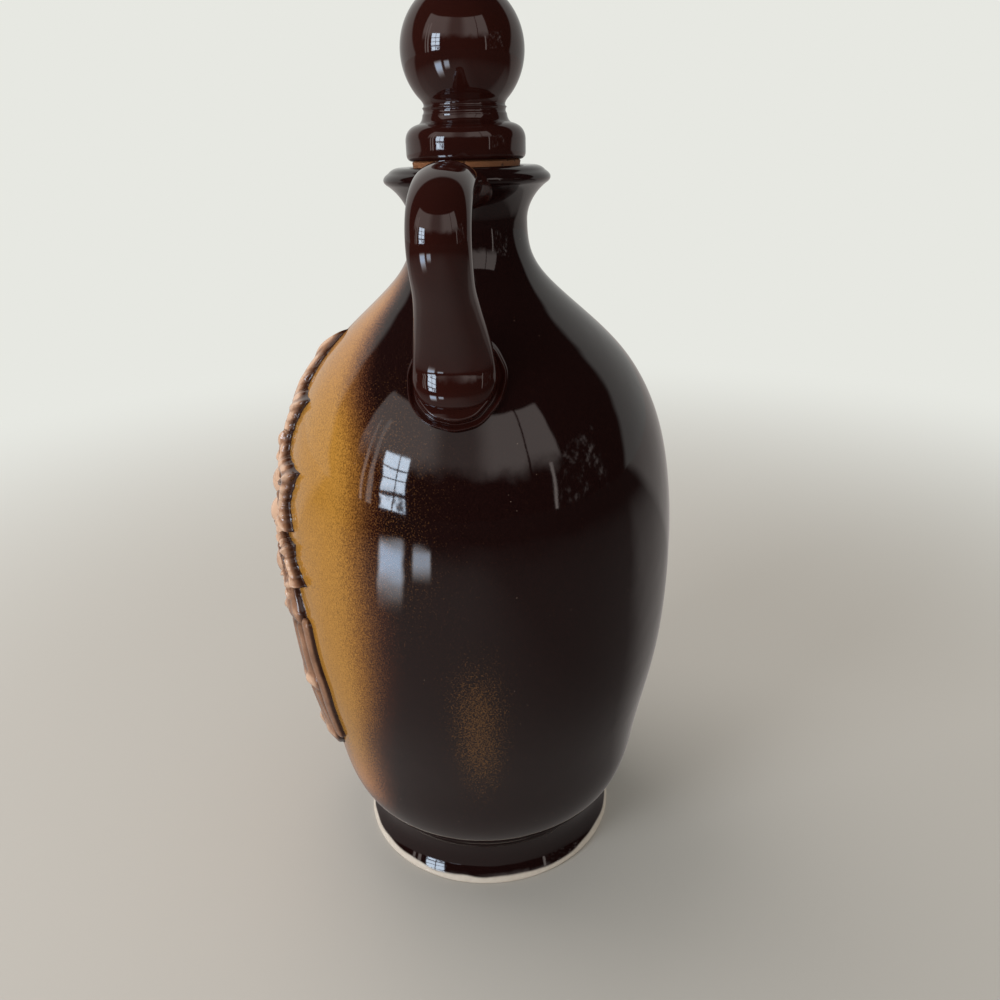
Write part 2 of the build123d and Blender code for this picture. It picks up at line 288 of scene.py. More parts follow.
# %% The stopper's head
collar_base = cork_high.z
collar_radius = stopper_high.x
collar_height = 7.9
collar_round = 3.3
collar_foot = 1.2
cove_height = 2.1
waist_radius = 9.9
waist_height = 1.4
waist_groove = 0.3
ball_radius = 14.2
ball_lean = 46
plug_radius = 6.5
plug_round = 0.5
ball_height = stopper_high.z - ball_radius
collar_top = collar_base + collar_height
waist_base = collar_top + cove_height
waist_top = waist_base + waist_height
collar_shoulder = bend(
    (collar_radius, collar_top - collar_round),
    (collar_radius - 0.2, collar_top - 0.5),
    (collar_radius - collar_round, collar_top + 0.2),
    10,
)
cove = smooth_line([collar_shoulder[-1], (waist_radius, waist_base)], (-1, 0.5), (-0.05, 1), 12)
groove_middle = (waist_radius - 2 * waist_groove, (waist_base + waist_top) / 2)
groove = bend((waist_radius, waist_base), groove_middle, (waist_radius, waist_top), 8)
ball_turns = np.radians(np.linspace(2 - ball_lean, 90, 60))
ball = [(ball_radius * cos(turn), ball_height + ball_radius * sin(turn)) for turn in ball_turns]
ball_neck = bend(groove[-1], (waist_radius - 0.9, waist_top + 0.5), ball[0], 8)
collar_low = bend(
    (collar_radius - collar_foot - plug_round, collar_base),
    (collar_radius, collar_base),
    (collar_radius, collar_base + collar_foot + plug_round),
    6,
)
stopper_outline = [
    (0, stopper_low.z),
    (plug_radius - plug_round, stopper_low.z),
    (plug_radius, stopper_low.z + plug_round),
    (plug_radius, collar_base),
    *collar_low, *collar_shoulder, *cove[1:], *groove[1:], *ball_neck[1:], *ball[1:-1],
    (0, ball[-1][1]),
]
stopper = spin_clay("stopper", stopper_outline, 128)
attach(stopper, "stopper")
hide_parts("stopper_head")

# %% The cork
cork_top_radius = cork_high.x
cork_low_radius = 10.4
cork_gap = 0.1
cork_round = 0.3
cork_low_round = 0.6
cork_bore = plug_radius + cork_gap
cork_side_low = cork_low.z + cork_low_round
cork_top_edge = bend(
    (cork_top_radius - cork_round, collar_base),
    (cork_top_radius, collar_base),
    (cork_top_radius, collar_base - cork_round),
    3,
)
cork_low_edge = bend(
    (cork_low_radius, cork_side_low),
    (cork_low_radius, cork_low.z),
    (cork_low_radius - cork_low_round, cork_low.z),
    4,
)
cork_side = [
    (between(cork_top_radius, cork_low_radius, share), between(collar_base, cork_side_low, share))
    for share in np.linspace(0.1, 0.95, 12)
]
cork_outline = [
    (cork_bore, collar_base), *cork_top_edge, *cork_side, *cork_low_edge,
    (cork_bore, cork_low.z), (cork_bore, collar_base),
]
cork = spin_clay("cork", cork_outline, 96)
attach(cork, "stopper")
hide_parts("cork_sleeve")

# %% [markdown]
# ## Pressing a ball of clay
# The handle and the sprigs of the vine are pulled or pressed out of a ball of clay. So each
# starts as a UV sphere, whose every point has a share of the way from its upper to its
# lower pole, and a turn about its axis. A shape says where that point of the ball ends up.
# A ball has no seam, so what is pressed from it is closed all over.


# %% Helper that presses a ball
def press(name, segments, rings, shape):
    """A ball whose points lie where shape(share, turn) says, in millimetres, with a painted light and shade
    value at each point.
    """
    bpy.ops.object.select_all(action="DESELECT")
    bpy.ops.mesh.primitive_uv_sphere_add(segments=segments, ring_count=rings, radius=1)
    piece = bpy.context.object
    piece.name = piece.data.name = name
    points = np.empty(len(piece.data.vertices) * 3)
    piece.data.vertices.foreach_get("co", points)
    points = points.reshape(-1, 3)
    share = np.arccos(np.clip(points[:, 2], -1, 1)) / pi
    turn = np.arctan2(points[:, 1], points[:, 0])
    places, relief = shape(share, turn)
    piece.data.vertices.foreach_set("co", (places * MM).ravel())
    # The relief attribute holds painted light and shade: lighter where a sprig stands up and faces out,
    # darker in its hollows and where it meets the ground.
    layer = piece.data.attributes.new("relief", "FLOAT", "POINT")
    layer.data.foreach_set("value", relief.astype(np.float32))
    piece.data.update()
    bpy.ops.object.mode_set(mode="EDIT")
    bpy.ops.mesh.select_all(action="SELECT")
    bpy.ops.mesh.normals_make_consistent(inside=False)
    bpy.ops.object.mode_set(mode="OBJECT")
    bpy.ops.object.shade_smooth()
    print(name, "faces:", len(piece.data.polygons))
    return piece


def on_front(across, up, lift):
    """Places on the bottle's front at a width and a height, lifted off along the radius."""
    radius = body_radius(up)
    grow = (radius + lift) / radius
    deep = np.sqrt(np.maximum(radius**2 - across**2, 0))
    return np.stack([across * grow, -deep * grow, up + 0 * across], axis=-1)


def step_up(low, high, value):
    """0 below low, 1 above high, and a soft step between."""
    t = np.clip((value - low) / (high - low), 0, 1)
    return t * t * (3 - 2 * t)


# %% [markdown]
# ## The handle
# The handle is a strap pulled from soft clay, bent over and luted on at the lip and on the
# shoulder. It widens at both ends, and a thumbed skirt of clay runs round its lower end.

# %% The handle
strap_width = 12.6
strap_low_width = 18.6
strap_lip_width = 15.5
strap_thickness = 8.5
strap_low_thickness = 10.0
handle_rise = 2.7
strap_tuck = 1.0
handle_seat_height = 142.1
handle_seat_depth = 1.1
thumb_share = 0.90
strap_straight_share = 0.85
lip_flare_share = 0.17
strap_line_shares = [
    (0.26, 0.975), (0.58, 1.0), (0.84, 0.96), (0.965, 0.88), (1.0, 0.79), (0.97, 0.692),
    (0.865, 0.564), (0.735, 0.409), (0.65, 0.281), (0.635, 0.187), (0.675, 0.098),
]
strap_crown = handle_high.z - strap_thickness / 2
strap_out = handle_high.x - strap_thickness / 2
strap_points = [
    (between(neck_radius, strap_out, out_share), between(handle_seat_height, strap_crown, up_share))
    for out_share, up_share in strap_line_shares
]
strap_start = (neck_radius - strap_tuck, strap_crown - handle_rise)
strap_end = (body_radius(handle_seat_height) - handle_seat_depth, handle_seat_height)
strap_line = smooth_line([strap_start, *strap_points, strap_end], (1, 0.3), (0.62, -0.78), 240)


def strap(share, turn):
    """The strap: an oval ring at each share of the way along its line, and a rounded lower end."""
    straight = strap_straight_share
    ended = np.clip((share - straight) / (1 - straight), 0, 1)
    along = np.where(
        share < straight,
        share / straight * thumb_share,
        thumb_share + (1 - thumb_share) * np.sin(ended * pi / 2),
    )
    place = along * (len(strap_line) - 1)
    numbers = np.arange(len(strap_line))
    out = np.interp(place, numbers, strap_line[:, 0])
    up = np.interp(place, numbers, strap_line[:, 1])
    heading = np.gradient(strap_line, axis=0)
    lean = np.interp(place, numbers, np.unwrap(np.arctan2(heading[:, 1], heading[:, 0])))
    flare = step_up(0.60, 0.92, along)
    lip_flare = (strap_lip_width - strap_width) * np.maximum(0, 1 - along / lip_flare_share)
    closed = np.cos(ended * pi / 2) * (share > 0.002)
    width = (strap_width + lip_flare + (strap_low_width - strap_width) * flare) / 2
    thickness = (strap_thickness + (strap_low_thickness - strap_thickness) * flare) / 2
    level, square = np.cos(turn) * width * closed, np.sin(turn) * thickness * closed
    places = np.stack([out - np.sin(lean) * square, level, up + np.cos(lean) * square], axis=-1)
    return places, np.ones_like(share)


handle = press("handle", 64, 200, strap)
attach(handle, "bottle")
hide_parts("handle")

# %% The handle's skirt
skirt_height = 148.9
skirt_half_width = 11.2
skirt_half_length = 9.4
ridge_place = 0.925
ridge_share = 0.045
ridge_height = 1.3
skirt_fillet = 1.9
skirt_edge = 0.12
skirt_sink = 0.8
skirt_rings = ([0, 0.2, 0.3, 0.72, 0.76, 1.0], [0, 0.6, 0.7, 1.0, 1.0, 0])


def skirt(share, turn):
    """A pad of clay round the handle's lower end: a fillet, a valley and a rolled ridge."""
    reach = np.interp(share, *skirt_rings)
    fillet = skirt_fillet * (1 - step_up(0.70, 0.86, reach))
    ridge = ridge_height * np.exp(-(((reach - ridge_place) / ridge_share) ** 2))
    falling = np.sqrt(np.clip(1 - ((reach - ridge_place) / (1 - ridge_place)) ** 2, 0, 1))
    lift = (skirt_edge + fillet + ridge) * np.where(reach > ridge_place, falling, 1)
    lift = np.where(share > 0.74, -skirt_sink, lift)
    thumbed = 1 + 0.012 * np.sin(5 * turn + 1.0) + 0.007 * np.sin(11 * turn)
    across = np.cos(turn) * reach * skirt_half_width * thumbed
    up = skirt_height + np.sin(turn) * reach * skirt_half_length * thumbed
    front = on_front(across, up, lift)
    return np.stack([-front[:, 1], front[:, 0], front[:, 2]], axis=-1), np.ones_like(share)


handle_skirt = press("handle_skirt", 128, 96, skirt)
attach(handle_skirt, "bottle")

# %% [markdown]
# ## The vine's leaves
# A vine leaf has five pointed lobes with toothed edges, a vein along each lobe and side
# veins that slant towards its tip. Potters press such leaves in a mould and lute them on.
# The blade swells between its veins, its edge curls up and drops to the ground, and a thin
# skirt of slip runs out round it. Painted light and shade colour it: the curled rim and the
# veins lighter, the grooves and the skirt dark.


# %% Helper that presses a leaf
lobes = [(0, 1.0), (52, 0.88), (-52, 0.88), (112, 0.64), (-112, 0.64)]
lobe_flank = radians(37)
tooth_share = 0.045
tooth_degrees = 11
toothed_turn = radians(33)
notch_share = 0.36
stalk_notch_share = 0.45
stalk_notch_turn = radians(20)
leaf_rings = ([0, 0.52, 0.72, 0.745, 0.78, 0.80, 1.0], [0, 0.84, 0.985, 1.0, 1.035, 1.04, 0])
slip_height = 0.07
vein_half_width = 0.55
groove_place = 1.25
groove_half_width = 0.5
side_vein_share = 0.24
blade_height = 1.0
rim_rise = 1.35
vein_height = 0.95
groove_depth = 0.3
swell_height = 0.4
sprig_sink = 0.9


def vine_leaf(name, place, length, turn_degrees, rise):
    """Presses a vine leaf that starts at a place on the front and points clockwise from up."""

    def shape(share, turn):
        heading = np.arctan2(np.cos(turn), np.sin(turn))
        offs = []
        outlines = []
        for lobe_turn, lobe_length in lobes:
            off = np.abs((heading - radians(lobe_turn) + pi) % (2 * pi) - pi)
            offs.append(off)
            tooth = np.sin(pi * ((np.degrees(off) / tooth_degrees) % 1)) * (off < toothed_turn)
            teeth = 1 - tooth_share * tooth
            edge = lobe_length * sin(lobe_flank) / np.sin(np.minimum(lobe_flank + off, pi - 0.3))
            outlines.append(np.where(off < radians(75), edge * teeth, 0))
        outline = np.max(outlines, axis=0)
        stalk_notch = np.exp(-(((pi - np.abs(heading)) / stalk_notch_turn) ** 2))
        outline = np.maximum(outline, notch_share) * (1 - stalk_notch_share * stalk_notch)
        reach = np.interp(share, *leaf_rings)
        a = reach * outline * np.sin(heading) * length
        b = reach * outline * np.cos(heading) * length
        nearest = np.argmin(offs, axis=0)
        rim = step_up(0.56, 0.84, reach)
        height = blade_height + rim_rise * rim
        main = np.zeros_like(a)
        groove = np.zeros_like(a)
        swell = np.zeros_like(a)
        for number, (lobe_turn, lobe_length) in enumerate(lobes):
            t = radians(lobe_turn)
            along = a * sin(t) + b * cos(t)
            off = np.abs(a * cos(t) - b * sin(t))
            fade = step_up(-0.5, 1.0, along) * (1 - 0.55 * np.clip(along / (lobe_length * length), 0, 1))
            main = np.maximum(main, fade * np.exp(-((off / vein_half_width) ** 2)))
            groove = np.maximum(groove, fade * np.exp(-(((off - groove_place) / groove_half_width) ** 2)))
            phase = (along - 0.8 * off) / (side_vein_share * length)
            here = (nearest == number) * step_up(0.25, 0.6, phase)
            swell = np.maximum(swell, here * np.sin(pi * (phase % 1)) ** 0.7)
        height = height + vein_height * main - groove_depth * groove + swell_height * swell * (1 - 0.6 * rim)
        wavy = 0.25 * np.sin(a * 0.55 + place[0]) * np.sin(b * 0.47 + place[1])
        height = (height + wavy) * rise
        drop = np.sqrt(np.clip(1 - (np.clip((reach - 0.84) / 0.16, 0, 1)) ** 2, 0, 1))
        lift = height * drop + slip_height
        under = np.interp(share, [0.775, 0.81, 1.0], [slip_height, -sprig_sink, -sprig_sink])
        lift = np.where(share > 0.775, under, lift)
        t = radians(turn_degrees)
        across = place[0] + a * cos(t) + b * sin(t)
        up = place[1] - a * sin(t) + b * cos(t)
        # Painted light and shade: lighter on the curled rim, the veins and the swells, darker in the
        # grooves, and dark where the leaf drops to the ground.
        light = 0.08 + 0.72 * rim**2 + 0.25 * swell + 0.5 * main - 0.5 * groove
        light = np.clip(light, 0, 1) * step_up(0.15, 0.9, drop)
        return on_front(across, up, lift), light

    leaf = press(name, 240, 72, shape)
    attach(leaf, "bottle")
    return leaf


# %% The five leaves
leaves = {
    "leaf_top": ((1.5, 129.5), 25.0, 10, 1.0),
    "leaf_right": ((12.0, 114.0), 19.7, 60, 1.1),
    "leaf_side": ((21.5, 96.5), 12.5, 96, 1.15),
    "leaf_left": ((-17.5, 112.0), 21.5, -52, 1.0),
    "leaf_low": ((-14.0, 61.0), 18.5, -150, 1.0),
}
relief_pieces = []
for leaf_name, (place, length, turn_degrees, rise) in leaves.items():
    leaf = vine_leaf(leaf_name + "_sprig", place, length, turn_degrees, rise)
    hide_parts(leaf_name)
    relief_pieces.append(leaf)

# %% [markdown]
# ## The grapes
# Each grape is a small ball of clay pressed into the bunch, a little longer than wide, with
# the pip of its faded flower at the end. Painted shade darkens a grape where it meets the
# ground or its neighbour, so each point is told how far it stands clear of both.

# %% The grapes
grape_radius = 5.0
grape_lift = -0.1
grape_share = 0.98
grape_stretch = 1.04
pip_height = 0.35
grape_pitch = 8.6
grape_row_drop = 7.3
bunch_place = (-3.0, 112.6)
bunch_rows = [3, 4, 3, 4, 3, 2, 1]
centres = []
for row, count in enumerate(bunch_rows):
    for number in range(count):
        across = bunch_place[0] + (number - (count - 1) / 2) * grape_pitch
        up = bunch_place[1] - row * grape_row_drop
        centres.append(on_front(np.float64(across), np.float64(up), grape_lift))
centres = np.array(centres)


def grape(centre, number):
    """One grape: a ball drawn out along the bunch, with a pip at its lower end."""
    rng = np.random.default_rng(number)
    stretch = 1 + 0.03 * rng.standard_normal()

    def shape(share, turn):
        polar = share * pi
        ring = np.sin(polar)
        ball = np.stack([ring * np.cos(turn), -np.cos(polar), ring * np.sin(turn)], axis=-1)
        ball = ball * grape_radius * grape_share
        ball[:, 2] *= grape_stretch * stretch
        ball[:, 0] *= grape_share
        pip = np.array([0.25 * rng.standard_normal(), -0.80, -0.6])
        pip /= np.linalg.norm(pip)
        near = np.linalg.norm(ball / grape_radius - pip, axis=1)
        dimple = np.exp(-(((near - 0.2) / 0.08) ** 2))
        ball += (pip * pip_height)[None, :] * (np.exp(-((near / 0.11) ** 2)) - 1.3 * dimple)[:, None]
        places = ball + centre
        ground = np.hypot(places[:, 0], places[:, 1]) - body_radius(places[:, 2])
        others = np.delete(centres, number, axis=0)
        gaps = np.linalg.norm(places[:, None, :] - others[None], axis=2).min(axis=1) - grape_radius
        # Painted shade: darker where the grape meets the ground or a neighbour, and in the dimple round its
        # pip.
        light = step_up(0.1, 1.4, ground) * step_up(-0.2, 1.5, gaps)
        light = light * (1 - 0.5 * np.exp(-(((near - 0.2) / 0.1) ** 2)))
        return places, light

    return press("grape", 40, 24, shape)


def join_sprigs(pieces, name, node):
    """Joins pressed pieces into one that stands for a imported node."""
    bpy.ops.object.select_all(action="DESELECT")
    for piece in pieces:
        piece.select_set(True)
    bpy.context.view_layer.objects.active = pieces[0]
    bpy.ops.object.join()
    joined = bpy.context.object
    joined.name = joined.data.name = name
    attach(joined, "bottle")
    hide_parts(node)
    relief_pieces.append(joined)


grapes = [grape(centre, number) for number, centre in enumerate(centres)]
join_sprigs(grapes, "grapes", "grape_bunch")
print("grapes:", len(grapes))

# %% [markdown]
# ## The stem, its shoot and the tendrils
# The old stem runs down beside the bunch. It swells at its knots, each with a bud, its bark
# lies in long ridges, and its end is rounded. A thin shoot follows it. Two tendrils curl
# beside the leaves, each thinner towards its eye.


# %% Helper that rolls a rod along the front
rod_edge = 0.06
between_knots_share = 0.86
knot_swell_share = 0.17
knot_length = 2.4
bud_height = 0.8
bark_height = 0.12


def rod(name, places, half_width, height, segments, rings, tail, knots=()):
    """Rolls a half-round rod along places on the front: it rounds off over its tail and swells at knots."""
    places = np.array(places, float)
    line = smooth_line(places, places[1] - places[0], places[-1] - places[-2], 160)
    heading = np.gradient(line, axis=0)
    heading /= np.linalg.norm(heading, axis=1)[:, None]
    numbers = np.arange(len(line))
    length = np.linalg.norm(np.diff(line, axis=0), axis=1).sum()

    def shape(share, turn):
        along = share * (len(line) - 1)
        centre = np.stack([np.interp(along, numbers, line[:, axis]) for axis in (0, 1)], axis=-1)
        lead = np.stack([np.interp(along, numbers, heading[:, axis]) for axis in (0, 1)], axis=-1)
        sideways, over = np.cos(turn), np.sin(turn)
        half = half_width * (between_knots_share if knots else 1.0) * np.ones_like(share)
        bark = np.zeros_like(share)
        for side, knot in zip([1, -1] * len(knots), knots):
            knot_share = np.linalg.norm(places[knot] - line, axis=1).argmin() / (len(line) - 1)
            off = (share - knot_share) * length
            half += knot_swell_share * half_width * np.exp(-((off / knot_length) ** 2))
            bark += 0.5 * np.exp(-((off / 1.9) ** 2)) - 0.45 * np.exp(-(((off - 3.1) / 0.8) ** 2))
            bud = ((off + 0.4) / 1.5) ** 2 + ((sideways - 0.45 * side) / 0.24) ** 2
            bark += bud_height * np.exp(-bud)
        if knots:
            bark += bark_height * np.sin(10 * sideways + 1.3 * np.sin(share * 9) + share * 5)
        ends = np.sqrt(np.clip(1 - (np.clip((share - 1 + tail) / tail, 0, 1)) ** 2, 0, 1))
        ends = ends * np.sqrt(np.clip(1 - (1 - np.clip(share / 0.04, 0, 1)) ** 2, 0, 1))
        skirt_share = 1.0 + 0.4 / half
        wide = np.where(over > 0, 1, skirt_share)
        off = sideways * half * wide * ends
        top = (height + bark) * ends * np.power(np.clip(over, 0, 1), 0.6) + rod_edge
        under = np.interp(over, [-1, -0.2, -0.05, 0], [-sprig_sink, -sprig_sink, rod_edge, rod_edge])
        lift = np.where(over >= 0, top, under)
        across = centre[:, 0] + lead[:, 1] * off
        up = centre[:, 1] - lead[:, 0] * off
        # Painted light and shade: lighter on the rod's top and where its bark, knots and buds stand up,
        # darker down its sides to the ground, in the bark's hollows and over its ends.
        light = step_up(0.1, 0.6, np.clip(over, 0, 1)) * step_up(0.0, 0.5, ends)
        return on_front(across, up, lift), np.clip(light * (0.66 + 0.45 * bark), 0, 1)

    piece = press(name, segments, rings, shape)
    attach(piece, "bottle")
    return piece


def beside_on_front(place, distance):
    """The place at a distance round the body's side from a place on its front."""
    radius = body_radius(place[1])
    return (radius * sin(np.arcsin(place[0] / radius) + distance / radius), place[1])


# %% The stem and the shoot
stem_half_width = 5.4
stem_height = 2.5
stem_places = [
    (22.6, 94.0), (24.1, 89.0), (25.1, 84.5), (26.0, 78.5), (26.2, 71.0),
    (25.8, 64.0), (25.1, 57.0), (23.9, 50.5), (22.6, 45.0), (20.6, 38.5),
]
stem_knots = (2, 5, 8)
stem_width_shares = [0.88, 0.84, 1.02, 0.86, 0.86, 1.05, 0.86, 0.86, 1.02, 0.5]
shoot_radius = 1.7
shoot_gap = 0.4
stem = rod("stem", stem_places, stem_half_width, stem_height, 96, 240, 0.08, stem_knots)
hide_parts("vine_stem")
shoot_places = [
    beside_on_front(place, stem_half_width * share + shoot_gap + shoot_radius)
    for place, share in zip(stem_places[2:-1], stem_width_shares[2:-1])
]
shoot = rod("shoot", shoot_places, shoot_radius, shoot_radius, 32, 100, 0.04)
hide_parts("side_shoot")
relief_pieces += [stem, shoot]

# %% The tendrils
tendril_places = [(-25.0, 141.0), (-26.5, 81.0)]
tendril_reach = 7.8
tendril_turns = 1.5
tendril_radius = 1.0
tendril_eye_share = 0.2
tendril_thin_share = 0.55


def tendril(name, across, up):
    """A curl of clay that grows thinner towards its eye."""

    def shape(share, turn):
        angle = 2 * pi * tendril_turns * share
        reach = between(tendril_reach, tendril_reach * tendril_eye_share, share)
        thin = tendril_radius * between(1.0, tendril_thin_share, share) * (np.sin(share * pi) ** 0.25)
        reach = reach + np.cos(turn) * thin
        lift = np.sin(turn) * thin + 0.1
        places = on_front(across + reach * np.sin(angle), up - reach * np.cos(angle), lift)
        # Painted light and shade: the curl's outer side lighter, its underside dark.
        return places, step_up(0.0, 0.6, np.sin(turn))

    return press(name, 20, 140, shape)


curls = [tendril("tendril", across, up) for across, up in tendril_places]
join_sprigs(curls, "tendril_curls", "tendrils")

# %% [markdown]
# ## Materials
# Each finish is a Principled surface whose colour is worked out from the point's own place
# on the object. Small helpers add a node and join its sockets, which keeps a finish short
# enough to read.


# %% Helpers for materials
def srgb(red, green, blue):
    """A colour as seen on a screen, from 0 to 255, as Blender's linear colour."""

    def straight(value):
        value = value / 255
        return value / 12.92 if value <= 0.04045 else ((value + 0.055) / 1.055) ** 2.4

    return (straight(red), straight(green), straight(blue), 1)


class Finish:
    """A material, or a world, under construction: its nodes are added and joined in one call each."""

    def __init__(self, name, holder=None):
        self.material = holder or bpy.data.materials.new(name)
        self.material.use_nodes = True
        self.tree = self.material.node_tree
        self.shader = self.tree.nodes.get("Principled BSDF")

    def add(self, kind, settings=None, **sockets):
        """Adds a node, sets its settings and fills its sockets with values or other nodes' outputs."""
        node = self.tree.nodes.new(kind)
        for key, value in (settings or {}).items():
            setattr(node, key, value)
        for key, value in sockets.items():
            self.fill(node, int(key[1:]) if key[1:].isdigit() else key.replace("_", " "), value)
        return node

    def fill(self, node, socket, value):
        """Joins an output to a socket, or sets the socket's value."""
        if isinstance(value, bpy.types.NodeSocket):
            self.tree.links.new(value, node.inputs[socket])
        else:
            node.inputs[socket].default_value = value

    def math(self, operation, first, second=0.0, third=0.0):
        """The output of a Math node."""
        node = self.add("ShaderNodeMath", {"operation": operation}, i0=first, i1=second, i2=third)
        return node.outputs[0]

    def ramp(self, value, low, high, start=0.0, end=1.0):
        """A value carried from one range to another, with soft ends."""
        node = self.add(
            "ShaderNodeMapRange", {"interpolation_type": "SMOOTHSTEP", "clamp": True},
            i0=value, i1=low, i2=high, i3=start, i4=end,
        )
        return node.outputs[0]

    def mix(self, share, first, second, blend="MIX"):
        """Two colours mixed."""
        node = self.add("ShaderNodeMix", {"data_type": "RGBA", "blend_type": blend})
        self.fill(node, 0, share)
        self.fill(node, 6, first)
        self.fill(node, 7, second)
        return node.outputs[2]

    def noise(self, place, scale, detail=2.0, roughness=0.5):
        """A cloudy value between 0 and 1."""
        node = self.add("ShaderNodeTexNoise", Vector=place, Scale=scale, Detail=detail, Roughness=roughness)
        return node.outputs["Fac"]

    def reach(self, vector, way):
        """How far a vector reaches along a way of length 1."""
        node = self.add("ShaderNodeVectorMath", {"operation": "DOT_PRODUCT"}, i0=vector, i1=way)
        return node.outputs["Value"]

    def times(self, *values):
        """The product of several values."""
        product = values[0]
        for value in values[1:]:
            product = self.math("MULTIPLY", product, value)
        return product

    def colours(self, value, stops):
        """A value turned into a colour, by stops of a share and a screen colour."""
        node = self.add("ShaderNodeValToRGB", i0=value)
        elements = node.color_ramp.elements
        elements[0].color, elements[1].color = srgb(*stops[0][1]), srgb(*stops[-1][1])
        for share, colour in stops[1:-1]:
            elements.new(share).color = srgb(*colour)
        return node.outputs[0]

    def place(self):
        """The point's own place on the object, and its three parts."""
        node = self.add("ShaderNodeTexCoord")
        parts = self.add("ShaderNodeSeparateXYZ", i0=node.outputs["Object"])
        return node.outputs["Object"], parts.outputs[0], parts.outputs[1], parts.outputs[2]


# %% [markdown]
# ## The brown glaze
# The decanter is dipped in a brown glaze so dark that it looks black, and the front is
# sprayed with a golden one. At the edge of the spray the gold breaks up into fine speckle,
# and a breath of it lies in the brown further round. The angle about the axis says how far
# round a point is, and noise shifts that edge. The foot's rim stays bare clay.

# %% The glaze of the bottle
gold_edge_degrees = 67.0
patch_degrees = 94.0
glaze = Finish("brown_glaze")
spot, x, y, z = glaze.place()
around = glaze.math("ARCTAN2", x, glaze.math("MULTIPLY", y, -1.0))
degrees = glaze.math("DEGREES", glaze.math("ABSOLUTE", around))
fine = glaze.noise(spot, 2600.0, 2.0, 0.6)
cloud = glaze.noise(spot, 45.0, 2.0, 0.5)
foot_mask = glaze.ramp(z, 0.018, 0.032)
neck_mask = glaze.ramp(z, 0.176, 0.160)
top_edge = glaze.ramp(z, 0.126, 0.172, 0.0, 32.0)
low_edge = glaze.ramp(z, 0.015, 0.085, 15.0, 0.0)
edge_angle = glaze.math("SUBTRACT", glaze.math("SUBTRACT", gold_edge_degrees, top_edge), low_edge)
edge_angle = glaze.math("MULTIPLY_ADD", glaze.math("SUBTRACT", cloud, 0.5), 5.0, edge_angle)
inside_edge = glaze.math("SUBTRACT", edge_angle, degrees)
grainy = glaze.math("MULTIPLY_ADD", glaze.math("SUBTRACT", fine, 0.5), 13.0, inside_edge)
gold_share = glaze.times(glaze.ramp(grainy, -9.0, 14.0), foot_mask, neck_mask)
gold_stops = [
    (0, (26, 10, 9)), (0.18, (50, 22, 13)), (0.42, (88, 52, 26)), (0.7, (132, 86, 36)),
    (1, (170, 119, 50)),
]
grain = glaze.ramp(fine, 0.3, 0.65, 0.66, 1.08)
colour = glaze.mix(1.0, glaze.colours(gold_share, gold_stops), grain, "MULTIPLY")
dust = glaze.times(
    glaze.ramp(degrees, 100.0, 70.0), glaze.ramp(z, 0.075, 0.110), glaze.ramp(z, 0.160, 0.135), 0.6
)
patch_angle = glaze.math("ABSOLUTE", glaze.math("SUBTRACT", degrees, patch_degrees))
patch_height = glaze.times(glaze.ramp(z, 0.024, 0.060), glaze.ramp(z, 0.100, 0.070))
dust = glaze.math("MAXIMUM", dust, glaze.times(glaze.ramp(patch_angle, 15.0, 0.0), patch_height))
dust_share = glaze.ramp(glaze.math("MULTIPLY_ADD", dust, 0.30, fine), 0.66, 0.98)
dust_share = glaze.times(dust_share, foot_mask, neck_mask, 0.6)
colour = glaze.mix(dust_share, colour, srgb(118, 80, 42), "LIGHTEN")
blush = glaze.times(glaze.ramp(z, 0.052, 0.024), 0.55)
blush = glaze.math("MAXIMUM", blush, glaze.ramp(z, 0.135, 0.165, 0.0, 0.35))
colour = glaze.mix(glaze.times(blush, gold_share), colour, srgb(186, 128, 100))
specks = glaze.add("ShaderNodeTexVoronoi", {"feature": "F1"}, Vector=spot, Scale=420.0)
speck_here = glaze.math("GREATER_THAN", glaze.noise(spot, 130.0, 0.0), 0.64)
speck = glaze.times(glaze.ramp(specks.outputs["Distance"], 0.055, 0.035), speck_here, 0.6)
colour = glaze.mix(speck, colour, srgb(150, 125, 110))
rim_wave = glaze.math("MULTIPLY_ADD", glaze.noise(spot, 90.0, 1.0), 0.0014, 0.0011)
bare = glaze.ramp(glaze.math("SUBTRACT", z, rim_wave), 0.0004, -0.0002)
clay_colour = glaze.mix(glaze.noise(spot, 700.0), srgb(196, 182, 168), srgb(214, 202, 190))
colour = glaze.mix(bare, colour, clay_colour)
glaze.fill(glaze.shader, "Base Color", colour)
glaze.fill(glaze.shader, "Roughness", glaze.ramp(bare, 0.0, 1.0, 0.045, 0.75))
glaze.shader.inputs["IOR"].default_value = 1.52
ripple = glaze.noise(spot, 110.0, 1.0)
bump = glaze.add("ShaderNodeBump", Strength=0.25, Distance=0.0004, Height=ripple)
grit = glaze.math("MULTIPLY", fine, glaze.ramp(bare, 0.0, 1.0, 0.03, 1.0))
bump = glaze.add("ShaderNodeBump", Strength=0.25, Distance=0.0002, Height=grit, Normal=bump.outputs[0])
glaze.fill(glaze.shader, "Normal", bump.outputs[0])
bottle.data.materials.append(glaze.material)
print("brown glaze nodes:", len(glaze.tree.nodes))

# %% The glaze of the handle and the stopper
dark = Finish("dark_glaze")
spot = dark.place()[0]
cloud = dark.noise(spot, 70.0, 3.0)
dark.fill(dark.shader, "Base Color", dark.mix(cloud, srgb(32, 12, 10), srgb(46, 17, 12)))
dark.shader.inputs["Roughness"].default_value = 0.045
dark.shader.inputs["IOR"].default_value = 1.52
bump = dark.add("ShaderNodeBump", Strength=0.25, Distance=0.0004, Height=dark.noise(spot, 120.0, 1.0))
dark.fill(dark.shader, "Normal", bump.outputs[0])
for piece in (handle, handle_skirt, stopper):
    piece.data.materials.append(dark.material)

